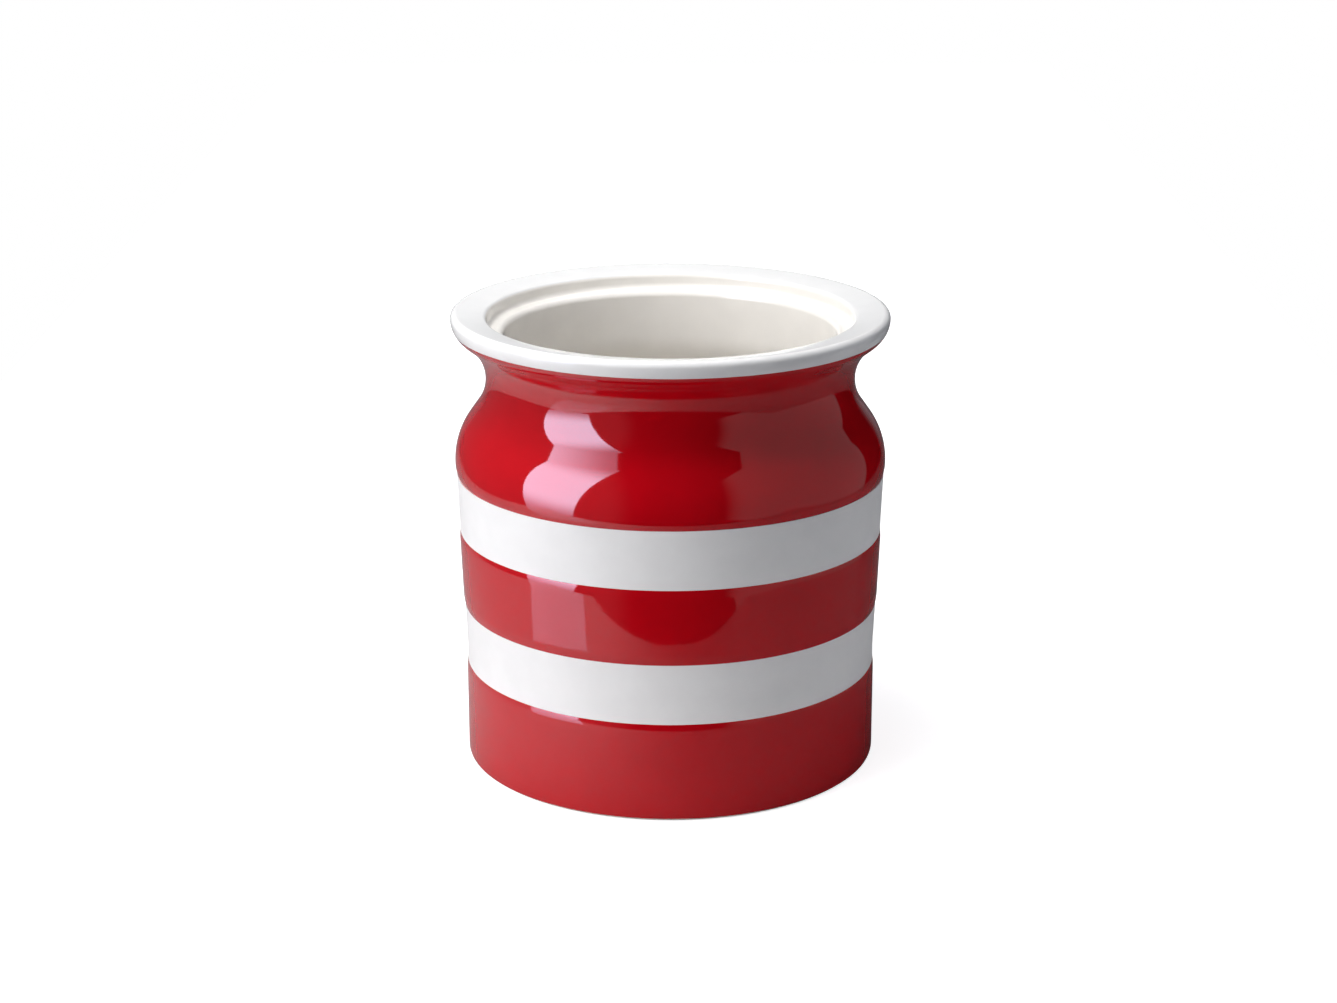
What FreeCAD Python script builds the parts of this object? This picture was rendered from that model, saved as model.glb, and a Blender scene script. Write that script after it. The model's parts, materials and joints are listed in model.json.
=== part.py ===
"""Utensil crock: a fired clay pot with its coats of coloured slip and glaze.

The pot is turned round Z. It stands on z = 0, and the axis runs through the
origin. One section is drawn at four depths: as the glazed pot, as the surface
where the red slip is turned away, as the inner face of the fired coat, and as
the clay inside. Level cuts part the coat into its red bands, its white bands
and its plain glaze. Lip, neck, shoulder and bands are set out downwards from
the crest of the lip. Lengths are in millimetres and angles in degrees.
"""
import FreeCAD, Part
import math
import os
import Sketcher

# The driving sizes: name, value, what it measures on the finished pot.
SIZES = (
    ("height", 149.3, "table to the crest of the lip"),
    ("shoulder_radius", 70.0, "widest part of the shoulder"),
    ("shoulder_round", 23.8, "curve of the shoulder"),
    ("shoulder_lean_angle", 35.4, "lean of the straight stretch between shoulder and neck"),
    ("shoulder_run", 5.2, "straight stretch between shoulder and neck"),
    ("wall_inset", 2.5, "upright lower wall, in from the widest part of the shoulder"),
    ("taper_level", 37.0, "level where the lower wall starts to lean out"),
    ("foot_round", 2.0, "rounding of the bottom edge"),
    ("neck_round", 15.8, "curve of the neck"),
    ("flare_lean_angle", 52.3, "lean of the straight stretch between neck and lip"),
    ("flare_run", 2.5, "straight stretch between neck and lip"),
    ("lip_under_round", 7.4, "curve under the lip, up to its widest part"),
    ("lip_round", 1.9, "outer edge of the top of the lip"),
    ("lip_fall_angle", 9.0, "fall of the top of the lip towards the mouth"),
    ("lip_inner_round", 1.6, "inner edge of the top of the lip"),
    ("seat_drop", 6.3, "crest of the lip down to the ledge inside the mouth"),
    ("seat_width", 1.6, "flat of the ledge"),
    ("seat_cove_round", 1.8, "hollow corner behind the ledge"),
    ("seat_edge_round", 2.0, "rounded edge of the ledge"),
    ("wall", 6.0, "wall with its coats, side and neck"),
    ("floor_level", 10.0, "table to the floor inside"),
    ("floor_round", 10.0, "curve from the floor into the wall"),
    ("foot_width", 12.5, "foot ring, from the outside of the wall to the hollow"),
    ("foot_hollow", 2.5, "depth of the hollow inside the foot ring"),
    ("coat", 0.5, "thickness of the fired slip and glaze"),
    ("coat_gap", 0.1, "clearance drawn between the clay and its coats"),
    ("band_step", 0.3, "how far the white bands are turned below the red ones"),
    ("bare_foot", 1.0, "clay left bare above the table"),
    ("parting_depth", 2.5, "depth in the clay where outer and inner coats part"),
    ("rim_drop", 5.2, "crest of the lip down to the red shoulder"),
    ("shoulder_band_height", 47.8, "red shoulder and neck, top to bottom"),
    ("upper_white_height", 19.2, "white between the red shoulder and the middle red band"),
    ("middle_band_height", 24.7, "middle red band"),
    ("lower_white_height", 19.8, "white between the middle and the lower red band"),
    ("overrun", 10.0, "how far a cutting slab stands out past shoulder and lip"),
)

SHEET = "Sizes"
START_INDEX, END_INDEX, CENTRE_INDEX = 1, 2, 3
LEVEL_AXIS_INDEX, POT_AXIS_INDEX = -1, -2
ORIGIN = (LEVEL_AXIS_INDEX, START_INDEX)


def make_sheet(doc):
    """Write the driving sizes into the sheet, one alias for each."""
    sheet = doc.addObject("Spreadsheet::Sheet", SHEET)
    for row, (name, value, meaning) in enumerate(SIZES, start=1):
        sheet.set(f"A{row}", meaning)
        sheet.set(f"B{row}", str(value))
        sheet.setAlias(f"B{row}", name)
    doc.recompute()
    return sheet


def cell(name):
    """The expression that reads one size."""
    return f"{SHEET}.{name}"


WALL_RADIUS = f"{cell('shoulder_radius')} - {cell('wall_inset')}"


def polar(centre, radius, angle):
    """The point of a circle at an angle from +X."""
    return (centre[0] + radius * math.cos(angle), centre[1] + radius * math.sin(angle))


def touch_from_point(point, centre, radius):
    """Angle on a circle where a line rising from a point below touches its right side."""
    across, up = centre[0] - point[0], centre[1] - point[1]
    return math.atan2(up, across) - math.pi + math.acos(radius / math.hypot(across, up))


def bend_step(rounds, straight, lean):
    """How far across and up two opposite curves lie that a leaning straight stretch joins.

    The curves' radii come summed. Across is between their upright points, up between centres.
    """
    across = rounds * (1 - math.cos(lean)) + straight * math.sin(lean)
    up = rounds * math.sin(lean) + straight * math.cos(lean)
    return across, up


class Outline:
    """A closed outline in the XZ plane of a body, drawn piece by piece."""

    def __init__(self, body, name):
        self.sketch = body.newObject("Sketcher::SketchObject", name)
        plane = next(f for f in body.Origin.OriginFeatures if f.Role == "XZ_Plane")
        self.sketch.AttachmentSupport = [(plane, "")]
        self.sketch.MapMode = "FlatFace"
        self.run = []

    def line(self, start, end):
        """Add a straight stretch and give its number."""
        ends = [FreeCAD.Vector(x, z, 0) for x, z in (start, end)]
        number = self.sketch.addGeometry(Part.LineSegment(*ends), False)
        self.run.append((number, START_INDEX, END_INDEX))
        return number

    def arc(self, centre, radius, start, end):
        """Add a round stretch between two angles, turning the short way, and give its number."""
        circle = Part.Circle(FreeCAD.Vector(*centre, 0), FreeCAD.Vector(0, 0, 1), radius)
        low, high = min(start, end), max(start, end)
        number = self.sketch.addGeometry(Part.ArcOfCircle(circle, low, high), False)
        ends = (START_INDEX, END_INDEX) if start < end else (END_INDEX, START_INDEX)
        self.run.append((number, *ends))
        return number

    def close(self, corners):
        """Join each stretch to the next: smooth, or square after those named as corners."""
        for here, after in zip(self.run, self.run[1:] + self.run[:1]):
            kind = "Coincident" if here[0] in corners else "Tangent"
            self.fix(kind, here[0], here[2], after[0], after[1])

    def fix(self, kind, *places):
        """Add a relation that holds no size."""
        self.sketch.addConstraint(Sketcher.Constraint(kind, *places))

    def size(self, kind, places, value, expression):
        """Add a size and bind it to the sheet."""
        number = self.sketch.addConstraint(Sketcher.Constraint(kind, *places, value))
        self.sketch.setExpression(f"Constraints[{number}]", expression)

    def from_axis(self, number, place, value, expression):
        """Bind a point's distance from the pot's axis."""
        self.size("DistanceX", (*ORIGIN, number, place), value, expression)

    def level(self, number, place, value, expression):
        """Bind a point's height above the table."""
        self.size("DistanceY", (*ORIGIN, number, place), value, expression)

    def radius(self, number, value, expression):
        """Bind the radius of an arc."""
        self.size("Radius", (number,), value, expression)


class Wall:
    """The wall's curves at a depth below the glazed outside, with their expressions."""

    def __init__(self, sheet, depth, depth_text):
        get = sheet.get
        self.shoulder_lean = math.radians(get("shoulder_lean_angle"))
        self.flare_lean = math.radians(get("flare_lean_angle"))
        self.shoulder_run = get("shoulder_run")
        self.flare_run = get("flare_run")
        neck_in, neck_up = bend_step(
            get("shoulder_round") + get("neck_round"), self.shoulder_run, self.shoulder_lean)
        lip_out, lip_up = bend_step(
            get("neck_round") + get("lip_under_round"), self.flare_run, self.flare_lean)
        neck_radius = get("shoulder_radius") - neck_in
        lip_level = get("height") - get("lip_round")
        neck_level = lip_level - lip_up
        shoulder_level = neck_level - neck_up

        self.radius = get("shoulder_radius") - get("wall_inset") - depth
        self.radius_text = f"{WALL_RADIUS} - ({depth_text})"
        self.taper = (self.radius, get("taper_level"))
        self.shoulder = (get("shoulder_radius") - get("shoulder_round"), shoulder_level)
        self.shoulder_text = f"{cell('shoulder_radius')} - {cell('shoulder_round')}"
        self.shoulder_round = get("shoulder_round") - depth
        self.shoulder_round_text = f"{cell('shoulder_round')} - ({depth_text})"
        self.neck = (neck_radius + get("neck_round"), neck_level)
        self.neck_round = get("neck_round") + depth
        self.neck_round_text = f"{cell('neck_round')} + ({depth_text})"
        self.under = (neck_radius + lip_out - get("lip_under_round"), lip_level)
        self.under_round = get("lip_under_round") - depth
        self.under_round_text = f"{cell('lip_under_round')} - ({depth_text})"
        self.to_shoulder = touch_from_point(self.taper, self.shoulder, self.shoulder_round)

    def shoulder_point(self, angle):
        return polar(self.shoulder, self.shoulder_round, angle)

    def neck_point(self, angle):
        return polar(self.neck, self.neck_round, angle)

    def under_point(self, angle):
        return polar(self.under, self.under_round, angle)

    def bind_upright(self, outline, number, end):
        """Stand the lower wall upright, at its radius, up to the level where it leans out."""
        outline.fix("Vertical", number)
        outline.from_axis(number, end, self.radius, self.radius_text)
        outline.level(number, end, self.taper[1], cell("taper_level"))


def draw_outside(outline, wall):
    """Draw the outside from the level where it leans out up to the widest part of the lip."""
    in_to_neck = wall.shoulder_lean + math.pi
    out_to_lip = math.pi - wall.flare_lean
    outline.line(wall.taper, wall.shoulder_point(wall.to_shoulder))
    shoulder = outline.arc(
        wall.shoulder, wall.shoulder_round, wall.to_shoulder, wall.shoulder_lean)
    slope = outline.line(wall.shoulder_point(wall.shoulder_lean), wall.neck_point(in_to_neck))
    neck = outline.arc(wall.neck, wall.neck_round, in_to_neck, out_to_lip)
    flare = outline.line(wall.neck_point(out_to_lip), wall.under_point(-wall.flare_lean))
    under = outline.arc(wall.under, wall.under_round, -wall.flare_lean, 0)

    outline.from_axis(shoulder, CENTRE_INDEX, wall.shoulder[0], wall.shoulder_text)
    outline.radius(shoulder, wall.shoulder_round, wall.shoulder_round_text)
    outline.size("Angle", (slope,), math.pi / 2 + wall.shoulder_lean,
                 f"90 deg + {cell('shoulder_lean_angle')} * 1 deg")
    outline.size("Distance", (slope,), wall.shoulder_run, cell("shoulder_run"))
    outline.radius(neck, wall.neck_round, wall.neck_round_text)
    outline.size("Angle", (flare,), math.pi / 2 - wall.flare_lean,
                 f"90 deg - {cell('flare_lean_angle')} * 1 deg")
    outline.size("Distance", (flare,), wall.flare_run, cell("flare_run"))
    outline.level(under, CENTRE_INDEX, wall.under[1], f"{cell('height')} - {cell('lip_round')}")
    outline.radius(under, wall.under_round, wall.under_round_text)
    outline.fix("Horizontal", under, CENTRE_INDEX, under, END_INDEX)
    return shoulder, neck, under


def draw_foot(outline, sheet, wall, depth, depth_text):
    """Draw the hollow underside and the foot ring, whose standing face is always at zero."""
    get = sheet.get
    hollow = get("foot_hollow") + depth
    ring = get("shoulder_radius") - get("wall_inset") - get("foot_width") + depth
    bend = get("foot_round") - depth
    ceiling = outline.line((0, hollow), (ring, hollow))
    step = outline.line((ring, hollow), (ring, 0))
    face = outline.line((ring, 0), (wall.radius - bend, 0))
    edge = outline.arc((wall.radius - bend, bend), bend, -math.pi / 2, 0)
    outline.fix("PointOnObject", ceiling, START_INDEX, POT_AXIS_INDEX)
    outline.fix("Horizontal", ceiling)
    outline.fix("Vertical", step)
    outline.fix("PointOnObject", step, END_INDEX, LEVEL_AXIS_INDEX)
    outline.fix("Horizontal", face)
    outline.level(ceiling, START_INDEX, hollow, f"{cell('foot_hollow')} + ({depth_text})")
    outline.from_axis(
        step, END_INDEX, ring, f"{WALL_RADIUS} - {cell('foot_width')} + ({depth_text})")
    outline.radius(edge, bend, f"{cell('foot_round')} - ({depth_text})")
    return ceiling, step


def draw_mouth(outline, sheet, outside, inside, depth, depth_text):
    """Draw the top of the lip, the ledge and the bore, from the widest part down to the neck."""
    get = sheet.get
    bore = inside.neck[0] - inside.neck_round
    seat = get("height") - get("seat_drop") - depth
    edge_round = get("seat_edge_round") - depth
    edge = (bore + edge_round, seat - edge_round)
    cove_round = get("seat_cove_round") + depth
    cove = (edge[0] + get("seat_width"), seat + cove_round)
    mouth = cove[0] + cove_round
    lip_round = get("lip_round") - depth
    lip = (outside.under[0] + outside.under_round - lip_round, outside.under[1])
    fall = math.radians(get("lip_fall_angle"))
    leave = math.pi / 2 + fall
    inner_round = get("lip_inner_round") - depth
    inner_rise = (mouth + inner_round - lip[0]) * math.sin(fall) + lip_round - inner_round
    inner = (mouth + inner_round, lip[1] + inner_rise / math.cos(fall))

    lip_arc = outline.arc(lip, lip_round, 0, leave)
    top = outline.line(polar(lip, lip_round, leave), polar(inner, inner_round, leave))
    inner_arc = outline.arc(inner, inner_round, leave, math.pi)
    drop = outline.line((mouth, inner[1]), (mouth, cove[1]))
    cove_arc = outline.arc(cove, cove_round, 2 * math.pi, 3 * math.pi / 2)
    ledge = outline.line((cove[0], seat), (edge[0], seat))
    edge_arc = outline.arc(edge, edge_round, math.pi / 2, math.pi)
    bore_line = outline.line((bore, edge[1]), (bore, inside.neck[1]))
    outline.radius(lip_arc, lip_round, f"{cell('lip_round')} - ({depth_text})")
    outline.size("Angle", (top,), math.pi + fall, f"180 deg + {cell('lip_fall_angle')} * 1 deg")
    outline.radius(inner_arc, inner_round, f"{cell('lip_inner_round')} - ({depth_text})")
    outline.fix("Vertical", drop)
    outline.radius(cove_arc, cove_round, f"{cell('seat_cove_round')} + ({depth_text})")
    outline.radius(edge_arc, edge_round, f"{cell('seat_edge_round')} - ({depth_text})")
    outline.fix("Horizontal", ledge)
    outline.size("Distance", (ledge,), get("seat_width"), cell("seat_width"))
    outline.level(
        ledge, START_INDEX, seat, f"{cell('height')} - {cell('seat_drop')} - ({depth_text})")
    outline.fix("Vertical", bore_line)


def draw_inside(outline, sheet, inside, curves, depth, depth_text):
    """Draw the inside from the neck, round the outer curves' centres, down to the floor."""
    get = sheet.get
    bend = get("floor_round") + depth
    floor = get("floor_level") - depth
    in_to_neck = inside.shoulder_lean + math.pi
    neck = outline.arc(inside.neck, inside.neck_round, math.pi, in_to_neck)
    outline.line(inside.neck_point(in_to_neck), inside.shoulder_point(inside.shoulder_lean))
    shoulder = outline.arc(
        inside.shoulder, inside.shoulder_round, inside.shoulder_lean, inside.to_shoulder)
    lean = outline.line(inside.shoulder_point(inside.to_shoulder), inside.taper)
    upright = outline.line(inside.taper, (inside.radius, floor + bend))
    corner = outline.arc((inside.radius - bend, floor + bend), bend, 0, -math.pi / 2)
    bottom = outline.line((inside.radius - bend, floor), (0, floor))
    for inner, outer in zip((shoulder, neck), curves):
        outline.fix("Coincident", inner, CENTRE_INDEX, outer, CENTRE_INDEX)
    outline.radius(neck, inside.neck_round, inside.neck_round_text)
    outline.radius(shoulder, inside.shoulder_round, inside.shoulder_round_text)
    inside.bind_upright(outline, upright, START_INDEX)
    outline.radius(corner, bend, f"{cell('floor_round')} + ({depth_text})")
    outline.fix("Horizontal", bottom)
    outline.fix("PointOnObject", bottom, END_INDEX, POT_AXIS_INDEX)
    outline.level(bottom, END_INDEX, floor, f"{cell('floor_level')} - ({depth_text})")
    return lean, bottom, floor


def turn(body, outline):
    """Turn an outline once round the pot's axis."""
    turned = body.newObject("PartDesign::Revolution", f"{body.Name}_turned")
    turned.Profile = outline.sketch
    turned.ReferenceAxis = (outline.sketch, ["V_Axis"])
    turned.Angle = 360.0
    return body


def make_pot(doc, sheet, name, *layers):
    """Make the whole pot with its cavity, below the named layers of the glazed surface."""
    depth = sum(sheet.get(layer) for layer in layers)
    depth_text = " + ".join(["0"] + [cell(layer) for layer in layers])
    body = doc.addObject("PartDesign::Body", name)
    body.Label = name
    outline = Outline(body, f"{name}_section")
    outside = Wall(sheet, depth, depth_text)
    inside = Wall(sheet, sheet.get("wall") - depth, f"{cell('wall')} - ({depth_text})")

    ceiling, step = draw_foot(outline, sheet, outside, depth, depth_text)
    upright = outline.line((outside.radius, sheet.get("foot_round")), outside.taper)
    outside.bind_upright(outline, upright, END_INDEX)
    curves = draw_outside(outline, outside)
    draw_mouth(outline, sheet, outside, inside, depth, depth_text)
    lean, bottom, floor = draw_inside(outline, sheet, inside, curves, depth, depth_text)
    axis = outline.line((0, floor), (0, sheet.get("foot_hollow") + depth))
    outline.close({ceiling, step, upright, lean, bottom, axis})
    return turn(body, outline)


def make_core(doc, sheet):
    """Make the filled form that parts the outer coat from the coat inside the pot."""
    body = doc.addObject("PartDesign::Body", "parting_core")
    outline = Outline(body, "parting_section")
    wall = Wall(sheet, sheet.get("parting_depth"), cell("parting_depth"))
    base = outline.line((0, 0), (wall.radius, 0))
    upright = outline.line((wall.radius, 0), wall.taper)
    wall.bind_upright(outline, upright, END_INDEX)
    under = draw_outside(outline, wall)[-1]
    top = outline.line(wall.under_point(0), (0, wall.under[1]))
    axis = outline.line((0, wall.under[1]), (0, 0))
    outline.fix("Coincident", base, START_INDEX, *ORIGIN)
    outline.fix("Horizontal", base)
    outline.fix("Horizontal", top)
    outline.fix("PointOnObject", top, END_INDEX, POT_AXIS_INDEX)
    outline.close({base, upright, under, top, axis})
    return turn(body, outline)


def combine(doc, kind, name, base, tool):
    """Cut or intersect two solids."""
    result = doc.addObject(f"Part::{kind}", name)
    result.Base = base
    result.Tool = tool
    result.Label = name
    return result


def make_zone(doc, name, coat, bottom, top):
    """Keep the coat between two levels, given as expressions."""
    slab = doc.addObject("Part::Cylinder", f"{name}_slab")
    slab.setExpression("Radius", f"{cell('shoulder_radius')} + {cell('overrun')}")
    slab.setExpression("Height", f"{top} - ({bottom})")
    slab.setExpression("Placement.Base.z", bottom)
    return combine(doc, "Common", name, coat, slab)


def make_coats(doc, glazed, turned, bare, core):
    """Part what covers the bare pot into its red bands, its white bands and its plain glaze."""
    coat = combine(doc, "Cut", "whole_coat", glazed, bare)
    outer = combine(doc, "Cut", "outer_coat", coat, core)
    inner = combine(doc, "Common", "inner_coat", coat, core)
    turned_coat = combine(doc, "Cut", "turned_coat", turned, bare)
    white = combine(doc, "Cut", "outer_turned_coat", turned_coat, core)
    above_lip = f"{cell('height')} + {cell('overrun')}"
    mid_floor = f"({cell('foot_hollow')} + {cell('floor_level')}) / 2"
    zones = [
        make_zone(doc, "lining_glaze", inner, mid_floor, above_lip),
        make_zone(doc, "underside_glaze", inner, cell("bare_foot"), mid_floor),
    ]
    top = above_lip
    bottom = f"{cell('height')} - {cell('rim_drop')}"
    for name, surface, below in (
            ("rim_glaze", outer, "shoulder_band_height"),
            ("shoulder_band", outer, "upper_white_height"),
            ("upper_white_band", white, "middle_band_height"),
            ("middle_band", outer, "lower_white_height")):
        zones.append(make_zone(doc, name, surface, bottom, top))
        top, bottom = bottom, f"{bottom} - {cell(below)}"
    zones.append(make_zone(doc, "lower_white_band", white, bottom, top))
    zones.append(make_zone(doc, "lower_band", outer, cell("bare_foot"), bottom))
    return zones


def main():
    doc = FreeCAD.newDocument("utensil_crock")
    sheet = make_sheet(doc)
    glazed = make_pot(doc, sheet, "glazed_pot")
    turned = make_pot(doc, sheet, "turned_pot", "band_step")
    bare = make_pot(doc, sheet, "bare_pot", "coat")
    clay = make_pot(doc, sheet, "clay_body", "coat", "coat_gap")
    core = make_core(doc, sheet)
    parts = [clay] + make_coats(doc, glazed, turned, bare, core)
    doc.recompute()

    for thing in doc.Objects:
        if {"Invalid", "Error"} & set(thing.State):
            raise RuntimeError(f"{thing.Name} failed: {thing.State}")
    for part in parts:
        if part.Shape.isNull() or not part.Shape.isValid() or not part.Shape.Solids:
            raise RuntimeError(f"{part.Label} has no sound solid")
    os.makedirs("parts", exist_ok=True)
    for part in parts:
        part.Shape.exportStep(f"parts/{part.Label}.step")
        box = part.Shape.optimalBoundingBox(False)
        print(f"{part.Label}: {len(part.Shape.Solids)} solid, {part.Shape.Volume:.1f} mm3,"
              f" z {box.ZMin:.2f} to {box.ZMax:.2f}, across {box.XLength:.2f}")


main()
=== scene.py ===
"""Utensil crock: a turned pot with glossy red and satin white bands, dressed on its CAD frame."""

import json
import math

import bpy
from bpy.props import FloatProperty, FloatVectorProperty, IntProperty, PointerProperty
from mathutils import Matrix, Vector


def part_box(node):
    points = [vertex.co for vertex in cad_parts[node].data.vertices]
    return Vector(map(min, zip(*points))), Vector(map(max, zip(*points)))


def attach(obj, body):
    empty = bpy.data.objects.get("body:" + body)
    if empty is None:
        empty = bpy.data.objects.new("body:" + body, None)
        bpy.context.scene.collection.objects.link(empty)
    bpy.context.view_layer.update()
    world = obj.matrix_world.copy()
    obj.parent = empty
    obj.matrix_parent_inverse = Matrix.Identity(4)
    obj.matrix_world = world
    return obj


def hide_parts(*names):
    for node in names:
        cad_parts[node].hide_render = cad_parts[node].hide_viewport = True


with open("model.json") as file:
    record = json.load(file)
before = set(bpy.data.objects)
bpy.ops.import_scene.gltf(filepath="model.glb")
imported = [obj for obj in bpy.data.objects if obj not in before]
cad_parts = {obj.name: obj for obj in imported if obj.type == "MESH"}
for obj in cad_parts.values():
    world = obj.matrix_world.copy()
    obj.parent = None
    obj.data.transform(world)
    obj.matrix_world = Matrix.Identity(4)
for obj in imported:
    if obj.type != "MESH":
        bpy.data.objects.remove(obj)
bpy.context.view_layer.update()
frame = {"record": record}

bl_info = {
    "name": "Utensil Crock",
    "version": (1, 0, 0),
    "blender": (4, 5, 0),
    "location": "View3D > Sidebar > Crock",
    "description": "Turns a banded, glazed crock and sets it on a studio table",
    "category": "Add Mesh",
}

RED_BANDS = ("shoulder_band", "middle_band", "lower_band")
WHITE_BANDS = ("upper_white_band", "lower_white_band")
COAT = 0.0005
QUARTER = math.pi / 2
WHITE = (1.0, 1.0, 1.0)


def slot_colour(slot):
    """The record's colour for a material slot."""
    for material in frame["record"]["materials"]:
        if material["slot"] == slot:
            return tuple(material["base_color"])
    raise KeyError(slot)


def length(name, value, text):
    return FloatProperty(
        name=name, description=text, default=value, precision=5, subtype="DISTANCE", unit="LENGTH")


def angle(name, degrees, text):
    return FloatProperty(
        name=name, description=text, default=math.radians(degrees), subtype="ANGLE",
        unit="ROTATION")


def amount(name, value, text):
    return FloatProperty(name=name, description=text, default=value, precision=4)


def colour(name, value, text):
    return FloatVectorProperty(
        name=name, description=text, default=value, size=3, min=0.0, max=2.0, subtype="COLOR")


class CrockShape(bpy.types.PropertyGroup):
    """Sizes of the turned pot."""

    height: length("Height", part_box("rim_glaze")[1].z, "Table to the crest of the lip")
    shoulder_radius: length("Shoulder radius", 0.070, "Widest part of the shoulder")
    shoulder_round: length("Shoulder round", 0.0238, "Bend of the shoulder")
    shoulder_lean: angle("Shoulder lean", 35.4, "How far the slope above the shoulder faces up")
    shoulder_run: length("Shoulder run", 0.0052, "Straight stretch between shoulder and neck")
    wall_inset: length("Wall inset", 0.0025, "Lower wall, in from the shoulder")
    taper_level: length("Taper level", 0.037, "Where the wall begins to widen to the shoulder")
    foot_round: length("Foot round", 0.002, "Bend at the bottom of the wall")
    foot_width: length("Foot width", 0.0125, "Width of the foot ring from the wall inwards")
    foot_hollow: length("Foot hollow", 0.0025, "Depth of the hollow inside the foot ring")
    foot_cove: length("Foot cove", 0.001, "Bend where the foot ring meets its hollow")
    neck_round: length("Neck round", 0.0158, "Hollow bend of the neck")
    flare_lean: angle("Flare lean", 52.3, "How far the flare under the lip faces down")
    flare_run: length("Flare run", 0.0025, "Straight stretch between neck and lip")
    lip_under: length("Lip under", 0.0074, "Bend under the lip, up to its widest part")
    lip_round: length("Lip round", 0.0019, "Bend at the outer edge of the lip's top")
    lip_fall: angle("Lip fall", 9.0, "Fall of the lip's top towards the mouth")
    lip_inner: length("Lip inner", 0.0016, "Bend at the inner edge of the lip's top")
    seat_drop: length("Seat drop", 0.0063, "Ledge inside the mouth, below the crest")
    seat_width: length("Seat width", 0.0016, "Flat part of the ledge")
    seat_cove: length("Seat cove", 0.0018, "Bend above the ledge")
    seat_edge: length("Seat edge", 0.002, "Bend at the ledge's inner edge")
    wall: length("Wall", 0.006, "Thickness of the wall")
    floor_level: length("Floor level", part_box("lining_glaze")[0].z + COAT, "Inside floor")
    floor_round: length("Floor round", 0.010, "Bend between floor and inner wall")
    coat: length("Coat", COAT, "Slip and glaze together")
    coat_gap: length("Coat gap", 0.0001, "Clearance between the coat and the clay")
    band_step: length("Band step", 0.0003, "White bands, below the red ones")
    band_edge: length("Band edge", 0.0032, "Length over which a red band's edge rolls off")
    straight_step: length("Straight step", 0.008, "Longest edge along a straight run")
    bend_step: angle("Bend step", 1.5, "Finest turn along a bend")
    bend_chord: length("Bend chord", 0.00025, "Shortest edge along a bend")
    turn_steps: IntProperty(name="Turn steps", description="Steps round the pot", default=224)


class CrockFinish(bpy.types.PropertyGroup):
    """Colours and surfaces of the glazes and the clay."""

    red: colour("Red", (0.515, 0.0016, 0.0072), "Red slip under clear glaze")
    deep_red: colour("Deep red", (0.495, 0.0014, 0.0066), "Red where the glaze lies thicker")
    white: colour("White", (0.89, 0.885, 0.875), "White glaze on the lip and under the pot")
    lining: colour("Lining", (0.91, 0.88, 0.83), "Creamier glaze inside")
    satin: colour("Satin white", (0.87, 0.862, 0.85), "Thin glaze on the white bands")
    clay: colour("Clay", slot_colour("bare_clay"), "Bare fired clay")
    red_bending: amount("Red bending", 1.90, "Refraction of the glaze over the red slip")
    white_bending: amount("White bending", 1.50, "Refraction of the white glaze")
    red_roughness: amount("Red roughness", 0.045, "Gloss of the red glaze")
    white_roughness: amount("White roughness", 0.10, "Gloss of the white glaze")
    satin_roughness: amount("Satin roughness", 0.55, "Sheen of the white bands")
    clay_roughness: amount("Clay roughness", 0.85, "Bare clay")
    wave_size: length("Wave size", 0.018, "Distance between slow waves in the glaze")
    wave_height: length("Wave height", 0.00006, "Height of the slow waves")
    peel_size: length("Peel size", 0.0022, "Distance between fine dimples in the glaze")
    peel_height: length("Peel height", 0.000003, "Height of the fine dimples")
    mottle_size: length("Mottle size", 0.011, "Patches of thicker and thinner glaze")
    turning_size: length("Turning size", 0.0011, "Distance between lines on the white bands")
    turning_height: length("Turning height", 0.000006, "Height of the turning lines")
    grain_size: length("Grain size", 0.0006, "Grain of the bare clay")
    grain_height: length("Grain height", 0.00002, "Height of the clay's grain")


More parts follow.
